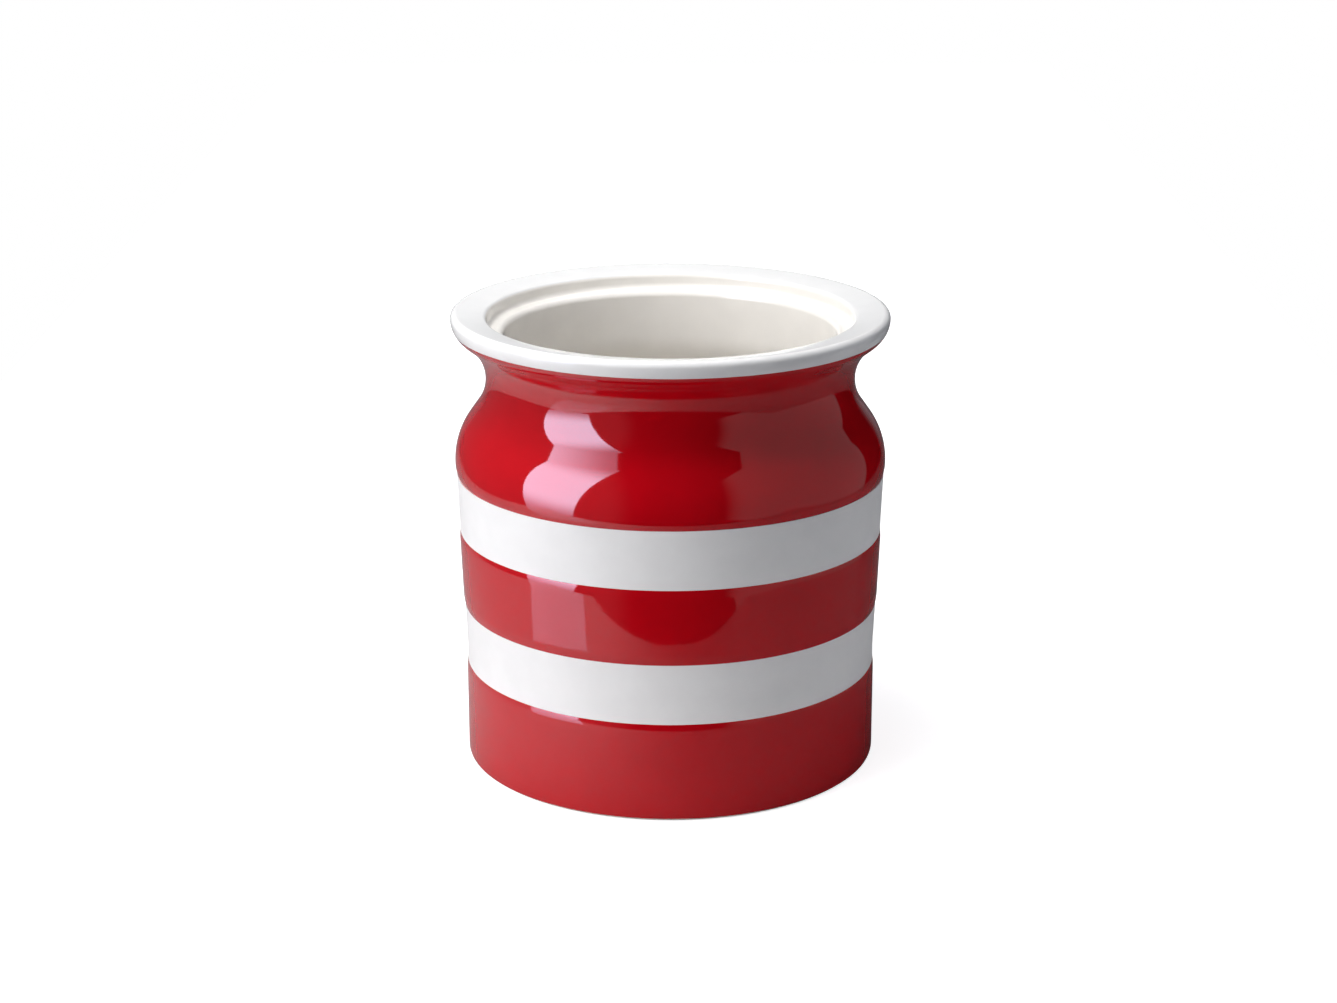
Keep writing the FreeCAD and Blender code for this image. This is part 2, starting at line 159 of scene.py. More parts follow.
class CrockStage(bpy.types.PropertyGroup):
    """Camera, table and lights."""

    camera_distance: length("Camera distance", 0.8634, "Camera in front of the pot's axis")
    camera_height: length("Camera height", 0.3503, "Camera above the table")
    camera_pitch: angle("Camera pitch", 17.11, "Camera's downward look")
    camera_lens: amount("Camera lens", 74.13, "Focal length in millimetres")
    camera_sensor: amount("Camera sensor", 36.0, "Sensor width in millimetres")
    camera_shift: amount("Camera shift", -0.00135, "Sideways framing")
    table_front: length("Table front", 0.195, "Table's front edge, from the axis")
    table_side: length("Table side", 0.337, "Table's side edges, from the axis")
    table_back: length("Table back", 1.6, "Table's back edge, from the axis")
    table_white: amount("Table white", 0.80, "Table top")
    # Painted light and shade: the glaze mirrors the table darker than the top that lights the pot,
    # lighter on the left where the softbox falls, and darker to the right where the pot shades it.
    table_painted_lit: amount("Table left", 0.44, "The table's left part as the glaze mirrors it")
    table_painted_shade: amount("Table right", 0.12, "The rest of the table as the glaze mirrors it")
    painted_shade_start: length("Mirror left", -0.12, "Where the mirrored table begins to darken")
    painted_shade_full: length("Mirror right", 0.03, "Where the mirrored table is darkest")
    table_lift: amount("Table lift", 0.78, "White added where the camera sees the table")
    lift_reach: amount("Lift reach", 3.0, "Where the added white is full, in mat radii")
    table_roughness: amount("Table roughness", 0.05, "Glossy part of the table")
    mat_roughness: amount("Mat roughness", 0.9, "Matt part of the table")
    mat_radius: length("Mat radius", 0.170, "Matt part of the table round the pot")
    mat_fade: length("Mat fade", 0.015, "Where the matt part turns glossy")
    key_distance: length("Key distance", 0.50, "Softbox from the pot")
    key_height: length("Key height", 0.10, "Level the softbox and the other lights look at")
    key_side: angle("Key side", 57.3, "Softbox, left of the camera")
    key_tilt: angle("Key tilt", 20.1, "Softbox's downward look")
    key_roll: angle("Key roll", 7.9, "Softbox's sideways lean")
    key_offset: length("Key offset", 0.015, "Softbox, along its own width")
    key_width: length("Key width", 0.304, "Softbox's width")
    key_low: length("Key low", 0.42, "Softbox, below its aim")
    key_high: length("Key high", 0.30, "Softbox, above its aim")
    key_strength: amount("Key strength", 4.6, "Brightness of the softbox's middle")
    key_fade: length("Key fade", 0.25, "Distance over which the softbox dims to both ends")
    key_high_end: amount("Key high end", 0.2, "Upper end, as a share of the softbox's middle")
    key_low_end: amount("Key low end", 0.3, "Lower end, as a share of the softbox's middle")
    key_tint: colour("Key tint", (0.73, 0.73, 0.75), "Softbox as it lights the pot")
    key_gleam: colour("Key gleam", (1.0, 1.0, 1.33), "Softbox as the glaze mirrors it")
    top_distance: length("Top distance", 0.60, "Top light from the pot")
    top_side: angle("Top side", 66.0, "Top light, left of the camera")
    top_tilt: angle("Top tilt", 72.0, "Top light's downward look")
    top_size: length("Top size", 0.40, "Top light's width and height")
    top_strength: amount("Top strength", 9.2, "Brightness of the top light")
    top_tint: colour("Top tint", (1.0, 1.0, 1.0), "Colour of the top light and the reflector")
    fill_distance: length("Fill distance", 0.60, "Fill light from the pot")
    fill_side: angle("Fill side", -98.0, "Fill light, right of the camera")
    fill_tilt: angle("Fill tilt", 15.0, "Fill light's downward look")
    fill_size: length("Fill size", 0.45, "Fill light's width and height")
    fill_strength: amount("Fill strength", 0.90, "Brightness of the fill light")
    fill_tint: colour("Fill tint", (0.95, 0.98, 1.07), "Cool light of the fill and the room")
    edge_share: amount("Edge share", 0.5, "Top and fill light a size off, as a share of the middle")
    panel_distance: length("Panel distance", 0.60, "Reflector, to the right of the axis")
    panel_front: length("Panel front", 1.20, "Reflector's front end")
    panel_back: length("Panel back", 0.346, "Reflector's back edge")
    panel_low: length("Panel low", 0.35, "Reflector, below the table")
    panel_high: length("Panel high", 0.95, "Reflector, above the table")
    panel_strength: amount("Panel strength", 0.19, "Brightness of the reflector")
    panel_fade: length("Panel fade", 0.45, "Distance over which its front end fades out")
    room_strength: amount("Room strength", 0.21, "Soft light from the room")
    room_dark: amount("Room dark", 0.002, "The room as the glaze mirrors it")
    room_left: amount("Room left", 0.09, "The room's left side as the glaze mirrors it")
    backdrop_strength: amount("Backdrop strength", 0.19, "The backdrop as the glaze mirrors it")


# The pot's section. It is walked with the clay on its left: up the outside, over the lip and down
# inside. A run is straight, a bend is round, and both lie at a depth below the surface.

TURN_SLACK = 1e-6


def polar(centre, radius, turn):
    return (centre[0] + radius * math.cos(turn), centre[1] + radius * math.sin(turn))


def run(start, end):
    return {"start": start, "end": end}


def bend(centre, radius, first, last):
    return {
        "start": polar(centre, radius, first), "end": polar(centre, radius, last),
        "centre": centre, "radius": radius, "first": first, "last": last}


def backwards(line):
    """The same line walked the other way."""
    turned = []
    for part in reversed(line):
        if "centre" in part:
            turned.append(bend(part["centre"], part["radius"], part["last"], part["first"]))
        else:
            turned.append(run(part["end"], part["start"]))
    return turned


def level_turn(part, level):
    """The angle at which a bend passes a level, between its own two ends."""
    rise = math.asin(max(-1.0, min(1.0, (level - part["centre"][1]) / part["radius"])))
    low, high = sorted((part["first"], part["last"]))
    for turn in (rise, math.pi - rise, rise + 2 * math.pi):
        if low - TURN_SLACK <= turn <= high + TURN_SLACK:
            return turn
    raise ValueError(f"bend doesn't pass level {level}")


def between(line, low, high):
    """The part of a rising line that lies between two levels."""
    kept = []
    for part in line:
        bottom, top = part["start"][1], part["end"][1]
        if top <= low or bottom >= high:
            continue
        if "centre" in part:
            first = level_turn(part, low) if bottom < low else part["first"]
            last = level_turn(part, high) if top > high else part["last"]
            kept.append(bend(part["centre"], part["radius"], first, last))
        else:
            slope = (part["end"][0] - part["start"][0]) / (top - bottom)
            start, end = part["start"], part["end"]
            if bottom < low:
                start = (start[0] + slope * (low - bottom), low)
            if top > high:
                end = (part["start"][0] + slope * (high - bottom), high)
            kept.append(run(start, end))
    return kept


def bend_offset(rounds, straight, lean):
    """How far across and up two bends lie that face opposite ways and share a leaning run."""
    across = rounds * (1.0 - math.cos(lean)) + straight * math.sin(lean)
    up = rounds * math.sin(lean) + straight * math.cos(lean)
    return across, up


def centres(shape):
    """Centres of the bends of the shoulder, of the neck and under the lip."""
    neck_in, neck_up = bend_offset(
        shape.shoulder_round + shape.neck_round, shape.shoulder_run, shape.shoulder_lean)
    lip_out, lip_up = bend_offset(
        shape.neck_round + shape.lip_under, shape.flare_run, shape.flare_lean)
    neck_radius = shape.shoulder_radius - neck_in
    under = (neck_radius + lip_out - shape.lip_under, shape.height - shape.lip_round)
    neck = (neck_radius + shape.neck_round, under[1] - lip_up)
    shoulder = (shape.shoulder_radius - shape.shoulder_round, neck[1] - neck_up)
    return shoulder, neck, under


def outside_line(shape, depth):
    """The outside from the foot up to the widest part of the lip."""
    shoulder, neck, under = centres(shape)
    wall_radius = shape.shoulder_radius - shape.wall_inset - depth
    foot = max(shape.foot_round - depth, 0.0)
    taper = (wall_radius, shape.taper_level)
    round_out = shape.shoulder_round - depth
    reach = (taper[0] - shoulder[0], taper[1] - shoulder[1])
    touch = math.atan2(reach[1], reach[0]) + math.acos(round_out / math.hypot(*reach))
    slope = bend(shoulder, round_out, touch, shape.shoulder_lean)
    hollow = bend(
        neck, shape.neck_round + depth, math.pi + shape.shoulder_lean, math.pi - shape.flare_lean)
    roll = bend(under, shape.lip_under - depth, -shape.flare_lean, 0.0)
    line = []
    if foot > 0.0:
        line.append(bend((wall_radius - foot, foot), foot, -QUARTER, 0.0))
    line.append(run((wall_radius, foot), taper))
    line.append(run(taper, slope["start"]))
    line.append(slope)
    line.append(run(slope["end"], hollow["start"]))
    line.append(hollow)
    line.append(run(hollow["end"], roll["start"]))
    line.append(roll)
    return line


def mouth_line(shape, depth):
    """From the widest part of the lip over its top and the ledge to the top of the bore."""
    _, neck, under = centres(shape)
    bore = neck[0] - shape.neck_round - shape.wall
    ledge = shape.height - shape.seat_drop
    edge = (bore + shape.seat_edge, ledge - shape.seat_edge)
    cove = (edge[0] + shape.seat_width, ledge + shape.seat_cove)
    mouth = cove[0] + shape.seat_cove
    lip = (under[0] + shape.lip_under - shape.lip_round, under[1])
    leave = QUARTER + shape.lip_fall
    rise = (mouth + shape.lip_inner - lip[0]) * math.sin(shape.lip_fall)
    rise += shape.lip_round - shape.lip_inner
    inner = (mouth + shape.lip_inner, lip[1] + rise / math.cos(shape.lip_fall))
    outer_edge = bend(lip, shape.lip_round - depth, 0.0, leave)
    inner_edge = bend(inner, shape.lip_inner - depth, leave, math.pi)
    hollow = bend(cove, shape.seat_cove + depth, 0.0, -QUARTER)
    return [
        outer_edge,
        run(outer_edge["end"], inner_edge["start"]),
        inner_edge,
        run(inner_edge["end"], hollow["start"]),
        hollow,
        run(hollow["end"], (edge[0], ledge - depth)),
        bend(edge, shape.seat_edge - depth, QUARTER, math.pi),
    ]


def inside_line(shape, depth):
    """From the widest part of the lip down to the middle of the floor."""
    neck = centres(shape)[1]
    floor_bend = shape.floor_level + shape.floor_round
    inner = between(outside_line(shape, shape.wall - depth), floor_bend, neck[1])
    line = mouth_line(shape, depth)
    line.append(run(line[-1]["end"], inner[-1]["end"]))
    line.extend(backwards(inner))
    middle = (inner[0]["start"][0] - depth - shape.floor_round, floor_bend)
    corner = bend(middle, shape.floor_round + depth, 0.0, -QUARTER)
    line.append(corner)
    line.append(run(corner["end"], (0.0, corner["end"][1])))
    return line


def parted_mouth(line, level):
    """Splits a line over the lip where its second bend, the inner edge, passes a level."""
    edge = line[2]
    turn = level_turn(edge, level)
    upper = line[:2] + [bend(edge["centre"], edge["radius"], edge["first"], turn)]
    lower = [bend(edge["centre"], edge["radius"], turn, edge["last"])] + line[3:]
    return upper, lower


def rolled_edge(line, level, at_top, run_length, drop):
    """Rolls the end of a rising line down to a band's edge, from a run's length away."""
    if at_top:
        line = between(line, line[0]["start"][1], level - run_length)
        part, point = line[-1], line[-1]["end"]
    else:
        line = between(line, level + run_length, line[-1]["end"][1])
        part, point = line[0], line[0]["start"]
    if "centre" in part:
        facing = part["last"] if at_top else part["first"]
        curve = 1.0 / part["radius"]
    else:
        facing = math.atan2(
            part["end"][1] - part["start"][1], part["end"][0] - part["start"][0]) - QUARTER
        curve = 0.0
    radius = 1.0 / (2.0 * drop / run_length ** 2 + curve)
    centre = polar(point, -radius, facing)
    edge = math.asin((level - centre[1]) / radius)
    if at_top:
        return line + [bend(centre, radius, facing, edge)]
    return [bend(centre, radius, edge, facing)] + line


# Drawing a section and turning it, with the tools of edit mode. A length or a turn below NOTHING
# isn't drawn.

NOTHING = 1e-9
SEED_SIZE = 0.01
MERGE_DISTANCE = 1e-6
SMOOTH_ANGLE = math.radians(24)
LEAST_STEPS = 2


def begin_section(name, point):
    """Adds a plane, shrinks it to one point and puts that where the section begins."""
    bpy.ops.object.select_all(action="DESELECT")
    bpy.ops.mesh.primitive_plane_add(size=SEED_SIZE, location=(0.0, 0.0, 0.0))
    piece = bpy.context.object
    piece.name = name
    piece.data.name = name
    bpy.ops.object.mode_set(mode="EDIT")
    bpy.ops.mesh.select_all(action="SELECT")
    bpy.ops.mesh.merge(type="CENTER")
    bpy.ops.transform.translate(value=(point[0], 0.0, point[1]))
    return piece


def draw_run(shape, start, end):
    """Extrudes the section's last point along a straight run, in short steps."""
    reach = math.dist(start, end)
    if reach < NOTHING:
        return
    steps = max(1, math.ceil(reach / shape.straight_step))
    stride = ((end[0] - start[0]) / steps, 0.0, (end[1] - start[1]) / steps)
    for _ in range(steps):
        bpy.ops.mesh.extrude_region_move(TRANSFORM_OT_translate={"value": stride})


def draw_bend(shape, part):
    """Spins the section's last point round a bend's centre."""
    turn = part["last"] - part["first"]
    if abs(turn) < NOTHING or part["radius"] <= 0.0:
        return
    fine = max(shape.bend_step, shape.bend_chord / part["radius"])
    steps = max(LEAST_STEPS, math.ceil(abs(turn) / fine))
    bpy.ops.mesh.spin(
        steps=steps, angle=turn, center=(part["centre"][0], 0.0, part["centre"][1]),
        axis=(0.0, 1.0, 0.0), use_auto_merge=False)


def draw_section(shape, name, line, closed):
    """Draws a section part by part, and back to its first point where it is closed."""
    piece = begin_section(name, line[0]["start"])
    place = line[0]["start"]
    for part in line:
        draw_run(shape, place, part["start"])
        if "centre" in part:
            draw_bend(shape, part)
        else:
            draw_run(shape, part["start"], part["end"])
        place = part["end"]
    if closed:
        draw_run(shape, place, line[0]["start"])
    return piece


def turn_section(shape, piece):
    """Turns the section round the pot's axis and closes its seam and poles."""
    bpy.ops.mesh.select_all(action="SELECT")
    bpy.ops.mesh.remove_doubles(threshold=MERGE_DISTANCE)
    bpy.ops.mesh.select_all(action="SELECT")
    bpy.ops.mesh.spin(
        steps=shape.turn_steps, angle=2 * math.pi, center=(0.0, 0.0, 0.0), axis=(0.0, 0.0, 1.0))
    bpy.ops.mesh.select_all(action="SELECT")
    bpy.ops.mesh.remove_doubles(threshold=MERGE_DISTANCE)
    bpy.ops.mesh.select_all(action="SELECT")
    bpy.ops.mesh.normals_make_consistent(inside=False)
    bpy.ops.object.mode_set(mode="OBJECT")
    bpy.ops.object.shade_smooth_by_angle(angle=SMOOTH_ANGLE)
    return piece


def turned_piece(shape, node, line, material, closed=True):
    """Draws, turns and finishes the piece that stands for a CAD node."""
    name = f"{node}_turned"
    piece = turn_section(shape, draw_section(shape, name, line, closed))
    if not piece.data.polygons:
        raise RuntimeError(f"{name} has no faces")
    piece.data.materials.clear()
    piece.data.materials.append(material)
    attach(piece, "root")
    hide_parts(node)


# Finishes. The frame has a flat material for each slot, under the slot's name, so no finish here
# bears a slot's name. Most of a noise lies in NOISE_SPAN.

NOISE_SPAN = (0.3, 0.7)
CLAY_SPAN = (0.35, 0.7)
THICK_SHADE = 0.97
CLAY_SHADE = 0.82
GLOSS_SPREAD = (0.85, 1.2)
SATIN_SPREAD = (0.9, 1.1)
TURNING_STRETCH = (0.02, 0.02, 1.0)


class Nodes:
    """Places and joins the nodes of one material."""

    def __init__(self, tree):
        self.tree = tree

    def add(self, kind, **values):
        node = self.tree.nodes.new(kind)
        for name, value in values.items():
            setattr(node, name, value)
        return node

    def link(self, source, target):
        self.tree.links.new(source, target)

    def feed(self, value, socket):
        """Sets a socket to a number, or links another socket to it."""
        if isinstance(value, float):
            socket.default_value = value
        else:
            self.link(value, socket)

    def axis(self, vector, name):
        node = self.add("ShaderNodeSeparateXYZ")
        self.link(vector, node.inputs[0])
        return node.outputs[name]

    def reach(self, vector):
        node = self.add("ShaderNodeVectorMath", operation="LENGTH")
        self.link(vector, node.inputs[0])
        return node.outputs["Value"]

    def noise(self, vector, size, detail):
        node = self.add("ShaderNodeTexNoise")
        node.inputs["Scale"].default_value = 1.0 / size
        node.inputs["Detail"].default_value = detail
        self.link(vector, node.inputs["Vector"])
        return node.outputs["Fac"]

    def ranged(self, value, low, high, to_low, to_high):
        node = self.add("ShaderNodeMapRange", interpolation_type="SMOOTHSTEP")
        node.inputs["From Min"].default_value = low
        node.inputs["From Max"].default_value = high
        node.inputs["To Min"].default_value = to_low
        node.inputs["To Max"].default_value = to_high
        self.link(value, node.inputs["Value"])
        return node.outputs["Result"]

    def patchy(self, noise, to_low, to_high):
        return self.ranged(noise, *NOISE_SPAN, to_low, to_high)

    def figure(self, operation, first, second):
        node = self.add("ShaderNodeMath", operation=operation)
        self.feed(first, node.inputs[0])
        self.feed(second, node.inputs[1])
        return node.outputs[0]

    def mixed(self, factor, first, second):
        node = self.add("ShaderNodeMix", data_type="RGBA")
        for name, value in (("A_Color", first), ("B_Color", second)):
            socket = next(s for s in node.inputs if s.identifier == name)
            socket.default_value = (*value, 1.0)
        self.link(factor, node.inputs[0])
        return next(s for s in node.outputs if s.identifier == "Result_Color")

    def picked(self, factor, first, second):
        node = self.add("ShaderNodeMix", data_type="FLOAT")
        self.link(factor, node.inputs[0])
        self.feed(first, node.inputs[2])
        self.feed(second, node.inputs[3])
        return node.outputs[0]

    def bumped(self, height, distance, normal=None):
        node = self.add("ShaderNodeBump")
        node.inputs["Strength"].default_value = 1.0
        node.inputs["Distance"].default_value = distance
        self.link(height, node.inputs["Height"])
        if normal is not None:
            self.link(normal, node.inputs["Normal"])
        return node.outputs["Normal"]


def new_finish(name):
    """An empty material with its nodes, its shader and the object's own coordinates."""
    material = bpy.data.materials.new(name)
    material.use_nodes = True
    nodes = Nodes(material.node_tree)
    shader = material.node_tree.nodes["Principled BSDF"]
    place = nodes.add("ShaderNodeTexCoord").outputs["Object"]
    return material, nodes, shader, place


def shaded(colour_value, share):
    return tuple(part * share for part in colour_value)


def lay_patches(nodes, shader, patches, thin, thick, roughness, spread):
    """Lets colour and roughness drift between thinner and thicker patches."""
    low, high = spread
    nodes.link(
        nodes.mixed(nodes.patchy(patches, 0.0, 1.0), thin, thick), shader.inputs["Base Color"])
    nodes.link(
        nodes.patchy(patches, roughness * low, roughness * high), shader.inputs["Roughness"])


def gloss_glaze(name, finish, thin, thick, roughness, bending):
    """Gloss glaze with slow waves, fine dimples and faint thicker patches."""
    material, nodes, shader, place = new_finish(name)
    patches = nodes.noise(place, finish.mottle_size, detail=3.0)
    lay_patches(nodes, shader, patches, thin, thick, roughness, GLOSS_SPREAD)
    waves = nodes.bumped(nodes.noise(place, finish.wave_size, detail=1.0), finish.wave_height)
    dimples = nodes.noise(place, finish.peel_size, detail=1.0)
    nodes.link(nodes.bumped(dimples, finish.peel_height, waves), shader.inputs["Normal"])
    shader.inputs["IOR"].default_value = bending
    return material


def red_glaze(name, finish):
    """Clear glaze over red slip."""
    return gloss_glaze(
        name, finish, finish.red, finish.deep_red, finish.red_roughness, finish.red_bending)


def lip_glaze(name, finish):
    """White glaze on the lip and under the pot."""
    return gloss_glaze(
        name, finish, finish.white, shaded(finish.white, THICK_SHADE), finish.white_roughness,
        finish.white_bending)


def lining_glaze(name, finish):
    """The same glaze inside, where it is a little creamier."""
    return gloss_glaze(
        name, finish, finish.lining, shaded(finish.lining, THICK_SHADE), finish.white_roughness,
        finish.white_bending)


def band_glaze(name, finish):
    """Thin satin glaze over turned clay: faint level turning lines and specks."""
    material, nodes, shader, place = new_finish(name)
    patches = nodes.noise(place, finish.mottle_size, detail=4.0)
    lay_patches(
        nodes, shader, patches, finish.satin, shaded(finish.satin, THICK_SHADE),
        finish.satin_roughness, SATIN_SPREAD)
    stretch = nodes.add("ShaderNodeMapping")
    stretch.inputs["Scale"].default_value = TURNING_STRETCH
    nodes.link(place, stretch.inputs["Vector"])
    lines = nodes.noise(stretch.outputs["Vector"], finish.turning_size, detail=2.0)
    grain = nodes.bumped(
        nodes.noise(place, finish.grain_size, detail=2.0), finish.turning_height)
    nodes.link(nodes.bumped(lines, finish.turning_height, grain), shader.inputs["Normal"])
    shader.inputs["IOR"].default_value = finish.white_bending
    return material


def foot_clay(name, finish):
    """Matt, fine-grained fired clay, bare at the foot."""
    material, nodes, shader, place = new_finish(name)
    specks = nodes.noise(place, finish.grain_size, detail=4.0)
    nodes.link(
        nodes.mixed(
            nodes.ranged(specks, *CLAY_SPAN, 0.0, 1.0), finish.clay,
            shaded(finish.clay, CLAY_SHADE)),
        shader.inputs["Base Color"])
    nodes.link(nodes.patchy(specks, finish.clay_roughness, 1.0), shader.inputs["Roughness"])
    nodes.link(nodes.bumped(specks, finish.grain_height), shader.inputs["Normal"])
    return material


def shared_finish(maker, finish):
    """The finish that a maker makes, made once for all the pieces that wear it."""
    name = maker.__name__
    return bpy.data.materials.get(name) or maker(name, finish)


# Pieces.

class CROCK_OT_clay_body(bpy.types.Operator):
    """Turn the clay pot under its coats, with its foot ring"""

    bl_idname = "crock.clay_body"
    bl_label = "Clay Body"

    def execute(self, context):
        shape, finish = context.scene.crock_shape, context.scene.crock_finish
        depth = shape.coat + shape.coat_gap
        ring = shape.shoulder_radius - shape.wall_inset - shape.foot_width + depth
        ceiling = shape.foot_hollow + depth
        line = [run((0.0, ceiling), (ring, ceiling)), run((ring, ceiling), (ring, 0.0))]
        line += outside_line(shape, depth) + inside_line(shape, depth)
        turned_piece(
            shape, "clay_body", line, shared_finish(foot_clay, finish),
            closed=False)
        return {"FINISHED"}


class CROCK_OT_red_bands(bpy.types.Operator):
    """Turn the three red bands, whose edges roll off onto the white ones"""

    bl_idname = "crock.red_bands"
    bl_label = "Red Bands"

    def execute(self, context):
        shape, finish = context.scene.crock_shape, context.scene.crock_finish
        material = shared_finish(red_glaze, finish)
        for node in RED_BANDS:
            low, high = (corner.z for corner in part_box(node))
            surface = between(outside_line(shape, 0.0), low, high)
            if node != "lower_band":
                surface = rolled_edge(surface, low, False, shape.band_edge, shape.band_step)
            if node != "shoulder_band":
                surface = rolled_edge(surface, high, True, shape.band_edge, shape.band_step)
            back = between(outside_line(shape, shape.coat), low, high)
            turned_piece(shape, node, surface + backwards(back), material)
        return {"FINISHED"}


class CROCK_OT_white_bands(bpy.types.Operator):
    """Turn the two satin white bands between the red ones"""

    bl_idname = "crock.white_bands"
    bl_label = "White Bands"

    def execute(self, context):
        shape, finish = context.scene.crock_shape, context.scene.crock_finish
        material = shared_finish(band_glaze, finish)
        for node in WHITE_BANDS:
            low, high = (corner.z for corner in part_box(node))
            surface = between(outside_line(shape, shape.band_step), low, high)
            back = between(outside_line(shape, shape.coat), low, high)
            turned_piece(shape, node, surface + backwards(back), material)
        return {"FINISHED"}


class CROCK_OT_rim_glaze(bpy.types.Operator):
    """Turn the white glaze over the lip"""

    bl_idname = "crock.rim_glaze"
    bl_label = "Rim Glaze"

    def execute(self, context):
        shape, finish = context.scene.crock_shape, context.scene.crock_finish
        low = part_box("rim_glaze")[0].z
        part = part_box("lining_glaze")[1].z
        faces = []
        for depth in (0.0, shape.coat):
            outer = between(outside_line(shape, depth), low, shape.height)
            faces.append(outer + parted_mouth(mouth_line(shape, depth), part)[0])
        turned_piece(
            shape, "rim_glaze", faces[0] + backwards(faces[1]), shared_finish(lip_glaze, finish))
        return {"FINISHED"}


class CROCK_OT_lining_glaze(bpy.types.Operator):
    """Turn the white glaze on the ledge, the bore, the inner wall and the floor"""

    bl_idname = "crock.lining_glaze"
    bl_label = "Lining Glaze"

    def execute(self, context):
        shape, finish = context.scene.crock_shape, context.scene.crock_finish
        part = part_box("lining_glaze")[1].z
        face = parted_mouth(inside_line(shape, 0.0), part)[1]
        back = parted_mouth(inside_line(shape, shape.coat), part)[1]
        turned_piece(
            shape, "lining_glaze", backwards(back) + face, shared_finish(lining_glaze, finish),
            closed=False)
        return {"FINISHED"}


class CROCK_OT_underside_glaze(bpy.types.Operator):
    """Turn the white glaze in the hollow under the pot"""

    bl_idname = "crock.underside_glaze"
    bl_label = "Underside Glaze"

    def execute(self, context):
        shape, finish = context.scene.crock_shape, context.scene.crock_finish
        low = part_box("underside_glaze")[0].z
        ring = shape.shoulder_radius - shape.wall_inset - shape.foot_width
        hollow, cove = shape.foot_hollow, shape.foot_cove
        corner = bend((ring - cove, hollow - cove), cove, 0.0, QUARTER)
        back = (ring + shape.coat, hollow + shape.coat)
        line = [
            run((0.0, back[1]), back),
            run(back, (back[0], low)),
            run((ring, low), corner["start"]),
            corner,
            run(corner["end"], (0.0, hollow)),
        ]
        turned_piece(
            shape, "underside_glaze", line, shared_finish(lip_glaze, finish),
            closed=False)
        return {"FINISHED"}


# Stage. In the room, the spans are where a heading's X leaves the left side and where its Y reaches
# the backdrop.

SHEET_CUTS = 3
ROOM_LEFT_SPAN = (-0.55, -0.30)
BACKDROP_SPAN = (0.85, 0.95)


def flat_sheet(name, width, depth, matrix, material):
    """Adds a divided rectangle that belongs to the stage."""
    bpy.ops.object.select_all(action="DESELECT")
    bpy.ops.mesh.primitive_plane_add(size=1.0, location=(0.0, 0.0, 0.0))
    sheet = bpy.context.object
    sheet.name = name
    bpy.ops.object.mode_set(mode="EDIT")
    bpy.ops.mesh.select_all(action="SELECT")
    bpy.ops.transform.resize(value=(width, depth, 1.0))
    bpy.ops.mesh.subdivide(number_cuts=SHEET_CUTS)
    bpy.ops.object.mode_set(mode="OBJECT")
    sheet.matrix_world = matrix
    sheet.data.materials.append(material)
    return sheet


def facing_matrix(place, side, tilt, roll):
    """Stands a sheet upright at a place, with its face turned to the pot."""
    face = Vector((
        math.sin(side) * math.cos(tilt), math.cos(side) * math.cos(tilt), -math.sin(tilt)))
    up = (Vector((0.0, 0.0, 1.0)) - face.z * face).normalized()
    across = up.cross(face)
    right = math.cos(roll) * across + math.sin(roll) * up
    top = math.cos(roll) * up - math.sin(roll) * across
    turn = Matrix((right, top, face)).transposed().to_4x4()
    return Matrix.Translation(place) @ turn


def table_finish(stage):
    """White table top, matt round the pot and glossy beyond, lifted to white for the camera."""
    material, nodes, shader, place = new_finish("table_top")
    reach = nodes.reach(place)
    start = stage.mat_radius
    nodes.link(
        nodes.ranged(
            reach, start, start + stage.mat_fade, stage.mat_roughness, stage.table_roughness),
        shader.inputs["Roughness"])
    path = nodes.add("ShaderNodeLightPath")
    # Painted light and shade for the glaze: the mirrored table is darker than its top, lighter on
    # the left where the softbox falls, and darker to the right.
    mirrored = nodes.ranged(
        nodes.axis(place, "X"), stage.painted_shade_start, stage.painted_shade_full, stage.table_painted_lit,
        stage.table_painted_shade)
    nodes.link(
        nodes.picked(path.outputs["Is Glossy Ray"], stage.table_white, mirrored),
        shader.inputs["Base Color"])
    glow = nodes.add("ShaderNodeEmission")
    lift = nodes.ranged(reach, start, stage.lift_reach * start, stage.table_lift, 1.0)
    nodes.link(
        nodes.figure("MULTIPLY", path.outputs["Is Camera Ray"], lift), glow.inputs["Strength"])
    both = nodes.add("ShaderNodeAddShader")
    nodes.link(shader.outputs[0], both.inputs[0])
    nodes.link(glow.outputs[0], both.inputs[1])
    output = material.node_tree.nodes["Material Output"]
    nodes.link(both.outputs[0], output.inputs["Surface"])
    return material


def lit_sheet_finish(name, strength_maker, tint, gleam):
    """A sheet that shines from its face only, in one tint as a light and another when mirrored."""
    material = bpy.data.materials.new(name)
    material.use_nodes = True
    material.node_tree.nodes.clear()
    nodes = Nodes(material.node_tree)
    place = nodes.add("ShaderNodeTexCoord").outputs["Object"]
    back = nodes.add("ShaderNodeNewGeometry").outputs["Backfacing"]
    front = nodes.figure("SUBTRACT", 1.0, back)
    glow = nodes.add("ShaderNodeEmission")
    mirrored = nodes.add("ShaderNodeLightPath").outputs["Is Glossy Ray"]
    nodes.link(nodes.mixed(mirrored, tint, gleam), glow.inputs["Color"])
    nodes.link(
        nodes.figure("MULTIPLY", front, strength_maker(nodes, place)), glow.inputs["Strength"])
    output = nodes.add("ShaderNodeOutputMaterial")
    nodes.link(glow.outputs[0], output.inputs["Surface"])
    return material


def add_table(stage):
    """A level table top that reaches far behind the pot."""
    depth = stage.table_back + stage.table_front
    flat_sheet(
        "table_top", 2 * stage.table_side, depth, Matrix.Identity(4), table_finish(stage))
    bpy.ops.object.mode_set(mode="EDIT")
    bpy.ops.mesh.select_all(action="SELECT")
    bpy.ops.transform.translate(value=(0.0, depth / 2 - stage.table_front, 0.0))
    bpy.ops.object.mode_set(mode="OBJECT")


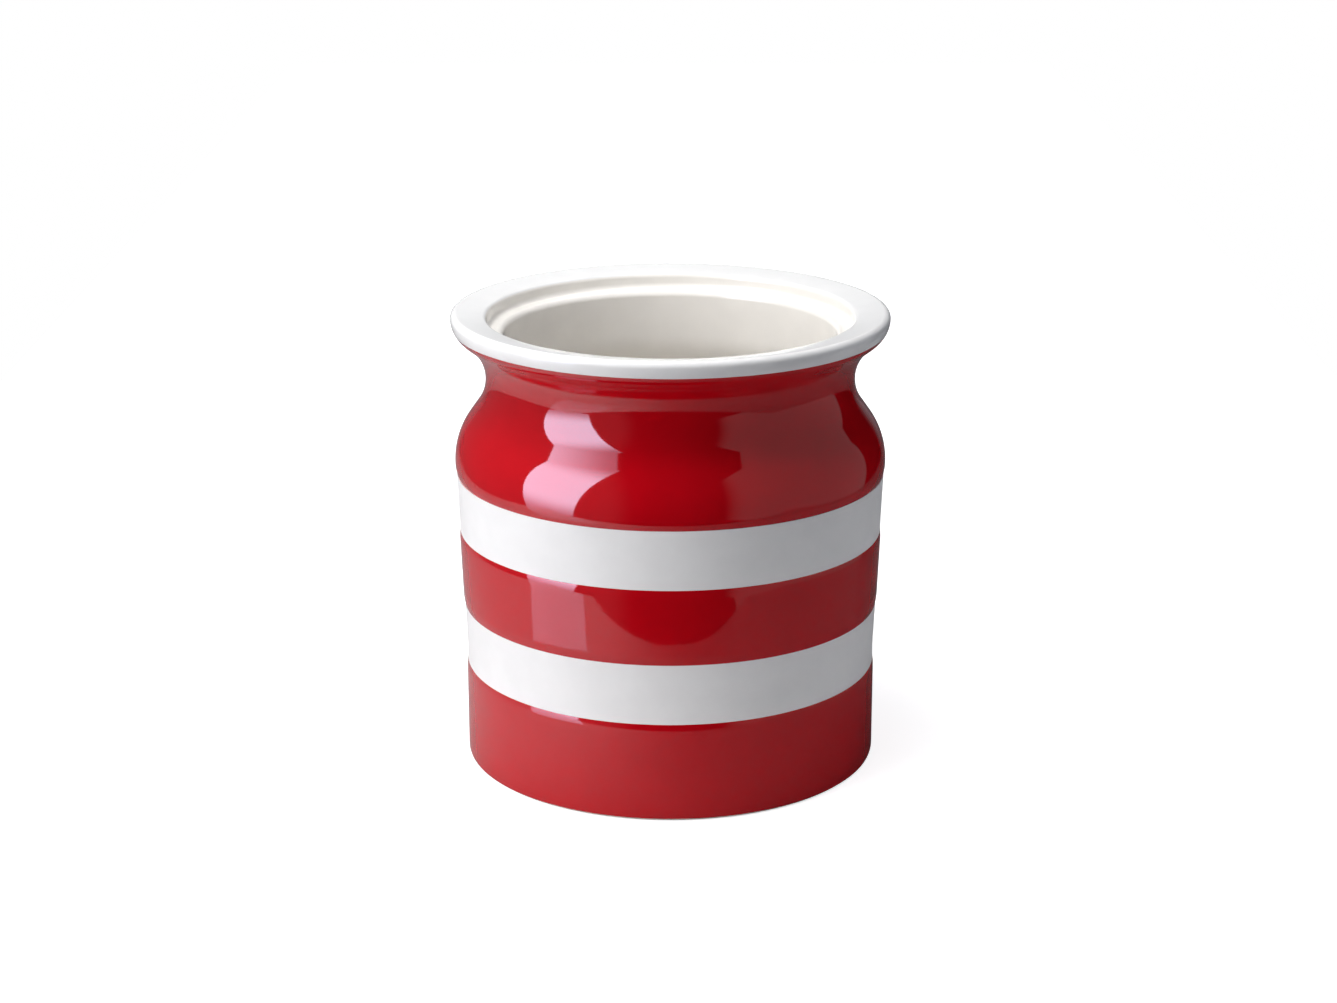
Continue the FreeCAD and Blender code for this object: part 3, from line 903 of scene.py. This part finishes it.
def add_softbox(stage):
    """The main light: a tall softbox on the left that dims towards both ends."""
    half = (stage.key_high + stage.key_low) / 2

    def strength(nodes, place):
        up = nodes.axis(place, "Y")
        high = nodes.ranged(up, half - stage.key_fade, half, 1.0, stage.key_high_end)
        low = nodes.ranged(up, -half, stage.key_fade - half, stage.key_low_end, 1.0)
        return nodes.figure("MULTIPLY", nodes.figure("MULTIPLY", high, low), stage.key_strength)

    aim = Vector((0.0, 0.0, stage.key_height))
    matrix = facing_matrix(aim, stage.key_side, stage.key_tilt, stage.key_roll)
    shift = (stage.key_offset, (stage.key_high - stage.key_low) / 2, -stage.key_distance)
    softbox = flat_sheet(
        "softbox", stage.key_width, 2 * half, matrix @ Matrix.Translation(shift),
        lit_sheet_finish("softbox_face", strength, stage.key_tint, stage.key_gleam))
    softbox.visible_camera = False


def add_square_light(stage, name, side, tilt, distance, size, strength, tint):
    """A square light that looks at the pot, dims towards its edges and isn't mirrored in it."""
    def dimmed(nodes, place):
        return nodes.ranged(nodes.reach(place), 0.0, size, strength, strength * stage.edge_share)

    matrix = facing_matrix(Vector((0.0, 0.0, stage.key_height)), side, tilt, 0.0)
    light = flat_sheet(
        name, size, size, matrix @ Matrix.Translation((0.0, 0.0, -distance)),
        lit_sheet_finish(f"{name}_face", dimmed, tint, tint))
    light.visible_camera = False
    light.visible_glossy = False


def add_reflector(stage):
    """A dim white reflector along the right, fading out towards the camera."""
    span = stage.panel_front + stage.panel_back
    rise = stage.panel_high + stage.panel_low

    def strength(nodes, place):
        return nodes.ranged(
            nodes.axis(place, "X"), span / 2 - stage.panel_fade, span / 2, stage.panel_strength,
            0.0)

    place = Vector((
        stage.panel_distance, (stage.panel_back - stage.panel_front) / 2,
        (stage.panel_high - stage.panel_low) / 2))
    matrix = facing_matrix(place, -QUARTER, 0.0, 0.0)
    panel = flat_sheet(
        "reflector", span, rise, matrix,
        lit_sheet_finish("reflector_face", strength, stage.top_tint, stage.top_tint))
    panel.visible_camera = False
    panel.visible_diffuse = False


def light_room(stage):
    """White to the camera, a soft grey on the pot, and dark with a pale backdrop in the glaze."""
    world = bpy.data.worlds.new("studio")
    bpy.context.scene.world = world
    world.use_nodes = True
    world.node_tree.nodes.clear()
    nodes = Nodes(world.node_tree)
    path = nodes.add("ShaderNodeLightPath")
    heading = nodes.add("ShaderNodeTexCoord").outputs["Generated"]
    across, away = nodes.axis(heading, "X"), nodes.axis(heading, "Y")
    mirrored = nodes.figure(
        "ADD",
        nodes.ranged(across, *ROOM_LEFT_SPAN, stage.room_left, stage.room_dark),
        nodes.ranged(away, *BACKDROP_SPAN, 0.0, stage.backdrop_strength))
    strength = stage.room_strength
    for seen, value in (("Is Glossy Ray", mirrored), ("Is Camera Ray", 1.0),
                        ("Is Transmission Ray", 1.0)):
        strength = nodes.picked(path.outputs[seen], strength, value)
    shade = nodes.add("ShaderNodeBackground")
    nodes.link(
        nodes.mixed(path.outputs["Is Camera Ray"], stage.fill_tint, WHITE), shade.inputs["Color"])
    nodes.link(strength, shade.inputs["Strength"])
    output = nodes.add("ShaderNodeOutputWorld")
    nodes.link(shade.outputs[0], output.inputs["Surface"])


def add_camera(stage):
    """The photograph's camera, in front of the pot and looking a little down."""
    data = bpy.data.cameras.new("camera")
    data.sensor_width = stage.camera_sensor
    data.lens = stage.camera_lens
    data.shift_x = stage.camera_shift
    camera = bpy.data.objects.new("camera", data)
    camera.location = (0.0, -stage.camera_distance, stage.camera_height)
    camera.rotation_euler = (QUARTER - stage.camera_pitch, 0.0, 0.0)
    bpy.context.scene.collection.objects.link(camera)
    bpy.context.scene.camera = camera


class CROCK_OT_stage(bpy.types.Operator):
    """Set up the table, the lights, the reflector, the room and the camera"""

    bl_idname = "crock.stage"
    bl_label = "Stage"

    def execute(self, context):
        stage = context.scene.crock_stage
        add_table(stage)
        add_softbox(stage)
        add_square_light(
            stage, "top_light", stage.top_side, stage.top_tilt, stage.top_distance,
            stage.top_size, stage.top_strength, stage.top_tint)
        add_square_light(
            stage, "fill_light", stage.fill_side, stage.fill_tilt, stage.fill_distance,
            stage.fill_size, stage.fill_strength, stage.fill_tint)
        add_reflector(stage)
        light_room(stage)
        add_camera(stage)
        context.scene.view_settings.view_transform = "Standard"
        return {"FINISHED"}


OPERATORS = (
    CROCK_OT_clay_body, CROCK_OT_red_bands, CROCK_OT_white_bands, CROCK_OT_rim_glaze,
    CROCK_OT_lining_glaze, CROCK_OT_underside_glaze, CROCK_OT_stage)


class CROCK_PT_panel(bpy.types.Panel):
    """Lists the crock's pieces and their settings"""

    bl_idname = "CROCK_PT_panel"
    bl_label = "Utensil Crock"
    bl_space_type = "VIEW_3D"
    bl_region_type = "UI"
    bl_category = "Crock"

    def draw(self, context):
        for maker in OPERATORS:
            self.layout.operator(maker.bl_idname)
        for group in ("crock_shape", "crock_finish", "crock_stage"):
            settings = getattr(context.scene, group)
            column = self.layout.column(align=True)
            for name in settings.__annotations__:
                column.prop(settings, name)


CLASSES = (CrockShape, CrockFinish, CrockStage, *OPERATORS, CROCK_PT_panel)


def register():
    for kind in CLASSES:
        bpy.utils.register_class(kind)
    bpy.types.Scene.crock_shape = PointerProperty(type=CrockShape)
    bpy.types.Scene.crock_finish = PointerProperty(type=CrockFinish)
    bpy.types.Scene.crock_stage = PointerProperty(type=CrockStage)


def unregister():
    del bpy.types.Scene.crock_stage
    del bpy.types.Scene.crock_finish
    del bpy.types.Scene.crock_shape
    for kind in reversed(CLASSES):
        bpy.utils.unregister_class(kind)


def main():
    register()
    bpy.ops.crock.clay_body()
    bpy.ops.crock.red_bands()
    bpy.ops.crock.white_bands()
    bpy.ops.crock.rim_glaze()
    bpy.ops.crock.lining_glaze()
    bpy.ops.crock.underside_glaze()
    bpy.ops.crock.stage()


if __name__ == "__main__":
    main()
